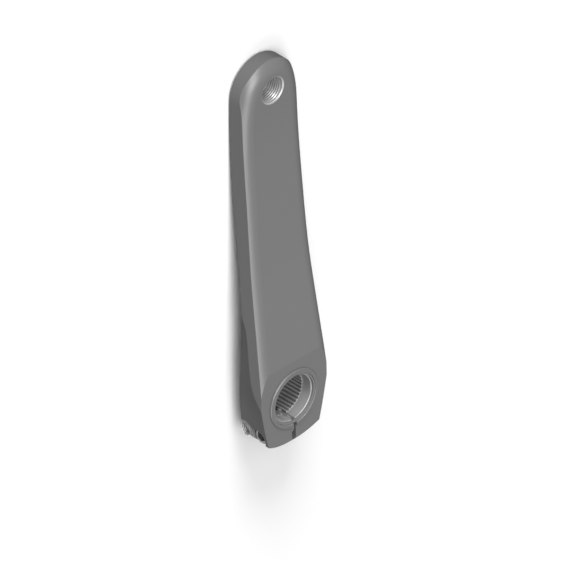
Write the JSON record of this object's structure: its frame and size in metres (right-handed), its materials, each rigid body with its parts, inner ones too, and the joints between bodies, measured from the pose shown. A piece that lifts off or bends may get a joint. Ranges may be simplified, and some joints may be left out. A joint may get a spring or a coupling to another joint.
{
  "type": "bicycle crank arm",
  "caption": "Left bicycle crank arm with a split, splined spindle clamp, opposed clamp bolts, a swinging safety plate and a threaded pedal eye.",
  "frame": {"origin": "on the spindle axis, in the plane of the hub's inboard face, 0.9 mm outside the mouth of the spindle bore's wall", "axes": "+X from the spindle axis to the pedal axis, +Y across the arm, +Z along the spindle towards the bicycle"},
  "size_m": [0.211, 0.0436, 0.0267],
  "materials": {
    "arm": "satin, forged and fine blasted",
    "bolts": "satin plated steel",
    "plate": "moulded, satin",
    "ring": "satin moulded elastomer"
  },
  "bodies": {
    "arm": {"crank_arm": "arm", "inner_clamp_bolt": "bolts", "outer_clamp_bolt": "bolts", "inner_bolt_washer": "bolts", "outer_bolt_washer": "bolts", "seal_ring": "ring"},
    "stopper": {"stopper_plate": "plate"}
  },
  "joints": [
    {"name": "stopper_swing", "type": "hinge", "parent": "arm", "child": "stopper", "pos_m": [-0.0176, 0, -0.0065], "axis": [0, 1, 0], "range_deg": [0, 15]}
  ]
}
